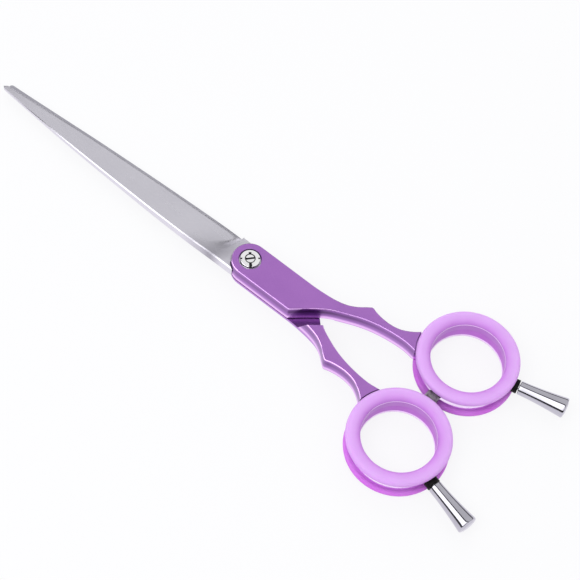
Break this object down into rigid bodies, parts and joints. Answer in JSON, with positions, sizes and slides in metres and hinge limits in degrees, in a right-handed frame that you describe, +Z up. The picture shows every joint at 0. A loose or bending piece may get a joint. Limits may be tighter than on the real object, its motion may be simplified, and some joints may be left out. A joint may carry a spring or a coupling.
{
  "type": "hairdressing shears",
  "caption": "Long straight-blade grooming shears with offset purple aluminium handles, steel blades, silicone finger ring inserts and screw-off finger rests.",
  "frame": {"origin": "on the pivot axis, at the flat underside of the pivot bolt, which is the resting plane", "axes": "+X along the closed blades towards their tips, +Z up along the pivot axis to the tension disc, +Y towards the rear finger ring"},
  "size_m": [0.194, 0.0622, 0.0088],
  "materials": {
    "anodised_purple": "satin purple anodised",
    "blade_steel": "satin ground",
    "screw_steel": "turned",
    "chrome": "polished",
    "silicone_lilac": "satin translucent silicone",
    "black_rubber": "matt",
    "grey_rubber": "matt"
  },
  "bodies": {
    "front_half": {"front_handle": "anodised_purple", "front_blade": "blade_steel", "tang_screw_1": "screw_steel", "tang_screw_2": "screw_steel", "ring_insert_front": "silicone_lilac", "front_rest_stud": "screw_steel", "front_rest_washer": "black_rubber", "bumper_pin": "screw_steel", "bumper_pad": "grey_rubber", "spring_washer": "screw_steel"},
    "rear_half": {"rear_handle": "anodised_purple", "rear_blade": "blade_steel", "pivot_bolt": "screw_steel", "ring_insert_rear": "silicone_lilac", "rear_rest_stud": "screw_steel", "rear_rest_washer": "black_rubber"},
    "tension_disc": {"tension_disc": "chrome"},
    "lock_screw": {"lock_screw": "screw_steel"},
    "front_rest": {"front_finger_rest": "chrome"},
    "rear_rest": {"rear_finger_rest": "chrome"}
  },
  "joints": [
    {"name": "pivot", "type": "hinge", "parent": "front_half", "child": "rear_half", "pos_m": [0, 0, 0], "axis": [0, 0, -1], "range_deg": [0, 62]},
    {"name": "tension_turn", "type": "hinge", "parent": "rear_half", "child": "tension_disc", "pos_m": [0, 0, 0.0075], "axis": [0, 0, 1], "range_deg": [-30, 90]},
    {"name": "lock_turn", "type": "hinge", "parent": "tension_disc", "child": "lock_screw", "pos_m": [0, 0, 0.0077], "axis": [0, 0, 1], "range_deg": [0, 180]},
    {"name": "front_rest_turn", "type": "hinge", "parent": "front_half", "child": "front_rest", "pos_m": [-0.08283, -0.02006, 0.0044], "axis": [-0.9711, -0.2385, 0], "range_deg": [0, 720]},
    {"name": "rear_rest_turn", "type": "hinge", "parent": "rear_half", "child": "rear_rest", "pos_m": [-0.08283, 0.02006, 0.0044], "axis": [-0.9711, 0.2385, 0], "range_deg": [0, 720]}
  ]
}
